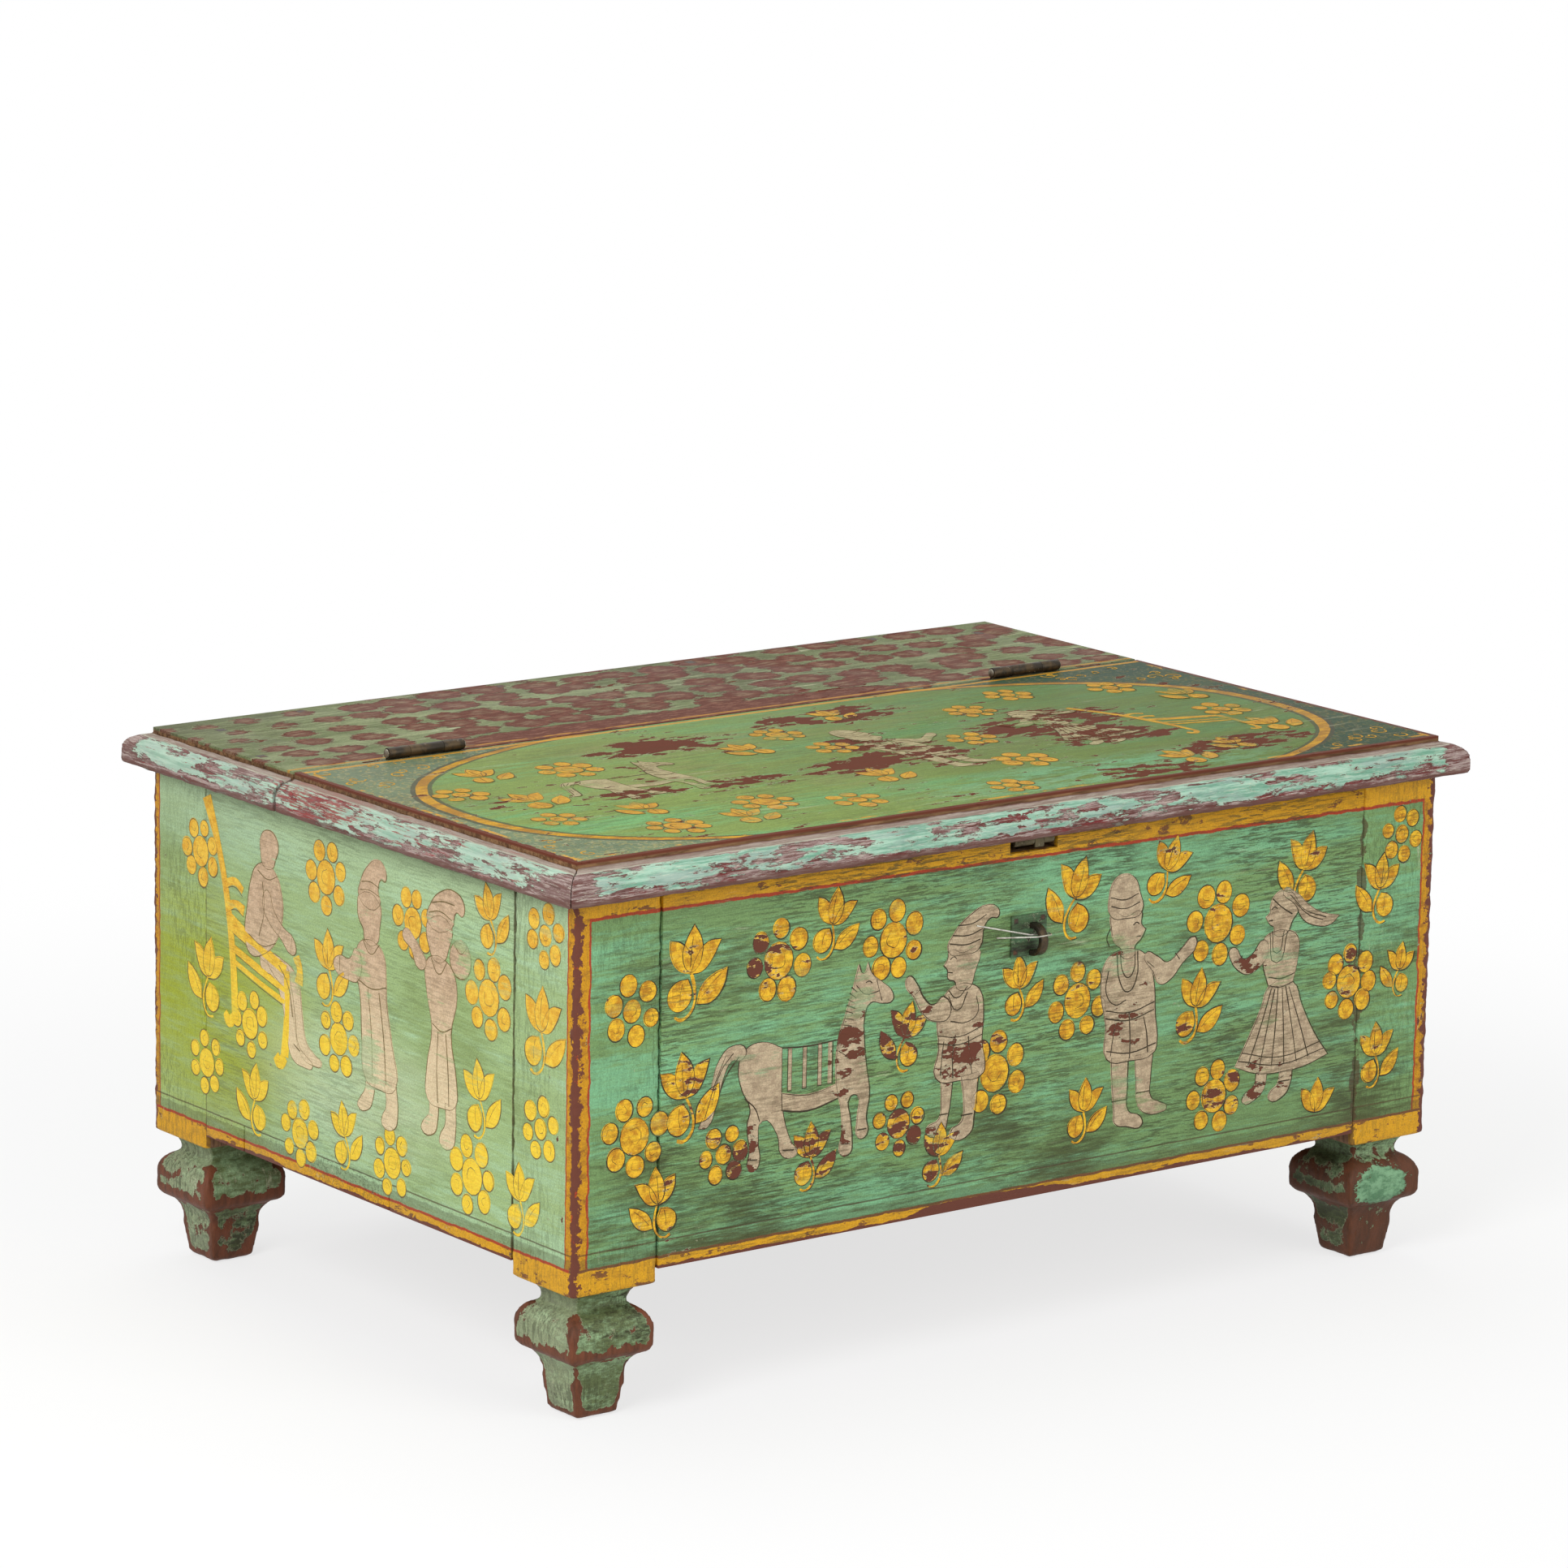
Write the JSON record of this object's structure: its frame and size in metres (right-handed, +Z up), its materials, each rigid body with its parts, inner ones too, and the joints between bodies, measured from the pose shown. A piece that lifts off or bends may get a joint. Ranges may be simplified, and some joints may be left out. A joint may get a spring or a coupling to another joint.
{
  "type": "storage trunk",
  "caption": "Low painted wooden dowry chest on carved square feet, with a fixed rear top board, a hinged moulded lid, and an iron lock plate and staple in front.",
  "frame": {"origin": "on the ground under the middle of the chest", "axes": "+X to the right of someone facing the front, along the width; +Y to the back; +Z up"},
  "size_m": [1.003, 0.697, 0.4983],
  "materials": {
    "painted_posts": "worn green paint over red-brown undercoat",
    "painted_panels": "worn green paint over red-brown undercoat",
    "painted_top": "worn green paint over red-brown undercoat",
    "painted_moulding": "worn aqua paint over purple-brown undercoat",
    "floor_wood": "bare aged plank",
    "dark_iron": "dark forged iron",
    "forged_fasteners": "dark forged iron",
    "painted_iron": "iron painted over with the panel's green",
    "tie_wire": "bright soft wire"
  },
  "bodies": {
    "chest": {"corner_post_front_left": "painted_posts", "corner_post_front_right": "painted_posts", "corner_post_rear_left": "painted_posts", "corner_post_rear_right": "painted_posts", "front_panel": "painted_panels", "back_panel": "painted_panels", "left_panel": "painted_panels", "right_panel": "painted_panels", "floor_board_front": "floor_wood", "floor_board_middle": "floor_wood", "floor_board_rear": "floor_wood", "rear_top_board": "painted_top", "rear_moulding_back": "painted_moulding", "rear_moulding_left": "painted_moulding", "rear_moulding_right": "painted_moulding", "hinge_left_fixed_leaf": "dark_iron", "hinge_left_pin": "dark_iron", "hinge_right_fixed_leaf": "dark_iron", "hinge_right_pin": "dark_iron", "lock_staple": "dark_iron", "hinge_nails_fixed": "forged_fasteners", "floor_nails": "forged_fasteners", "top_board_nails": "forged_fasteners", "lock_plate_nails": "forged_fasteners", "lock_plate": "painted_iron"},
    "lid": {"lid_board": "painted_top", "lid_moulding_front": "painted_moulding", "lid_moulding_left": "painted_moulding", "lid_moulding_right": "painted_moulding", "hinge_left_lid_leaf": "dark_iron", "hinge_right_lid_leaf": "dark_iron", "hinge_nails_lid": "forged_fasteners", "hasp_leaf": "dark_iron", "hasp_pin": "dark_iron", "hasp_strap_stub": "dark_iron", "hasp_nails": "forged_fasteners"},
    "tie_wire": {"tie_wire": "tie_wire"}
  },
  "joints": [
    {"name": "lid_hinge", "type": "hinge", "parent": "chest", "child": "lid", "pos_m": [0, 0.097, 0.4933], "axis": [-1, 0, 0], "range_deg": [0, 180]},
    {"name": "tie_wire_swing", "type": "hinge", "parent": "chest", "child": "tie_wire", "pos_m": [0.007, -0.34093, 0.367], "axis": [0, 0, 1], "range_deg": [-6, 8]}
  ]
}
